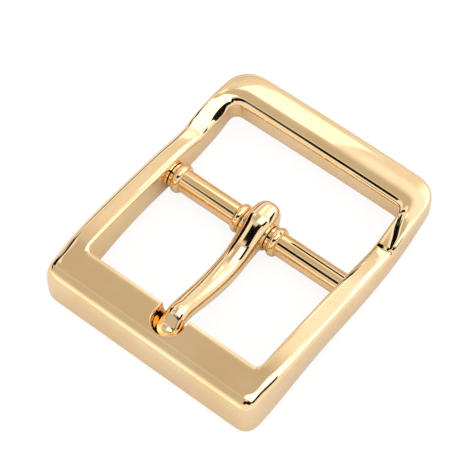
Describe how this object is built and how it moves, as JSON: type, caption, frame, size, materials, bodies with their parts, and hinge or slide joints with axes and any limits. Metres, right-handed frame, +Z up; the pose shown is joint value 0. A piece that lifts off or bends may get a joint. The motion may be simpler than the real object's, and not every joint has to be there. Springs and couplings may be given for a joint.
{
  "type": "buckle slider",
  "caption": "Rounded rectangular centre-bar prong buckle for a flat strap, with a raised rear bar, dipped side rails, a turning prong and turned spacer sleeves on its pin.",
  "frame": {"origin": "on the resting plane, under the middle of the frame's length and width", "axes": "+X along the pin, +Y towards the raised rear bar, +Z up from the resting plane"},
  "size_m": [0.0308, 0.038, 0.0061],
  "materials": {
    "plated_casting": "polished pale gold plating on a zinc alloy casting",
    "plated_sleeves": "polished pale gold plating on turned brass",
    "pin_steel": "drawn steel wire, thinly gold plated"
  },
  "bodies": {
    "buckle_frame": {"frame": "plated_casting", "centre_pin": "pin_steel"},
    "left_sleeve_body": {"left_sleeve": "plated_sleeves"},
    "right_sleeve_body": {"right_sleeve": "plated_sleeves"},
    "prong_body": {"prong": "plated_casting"}
  },
  "joints": [
    {"name": "prong_hinge", "type": "hinge", "parent": "buckle_frame", "child": "prong_body", "pos_m": [0, 0.00245, 0.00198], "axis": [-1, 0, 0], "range_deg": [0, 150]},
    {"name": "left_sleeve_turn", "type": "hinge", "parent": "buckle_frame", "child": "left_sleeve_body", "pos_m": [-0.007, 0.00245, 0.00198], "axis": [1, 0, 0], "continuous": true},
    {"name": "right_sleeve_turn", "type": "hinge", "parent": "buckle_frame", "child": "right_sleeve_body", "pos_m": [0.007, 0.00245, 0.00198], "axis": [1, 0, 0], "continuous": true}
  ]
}
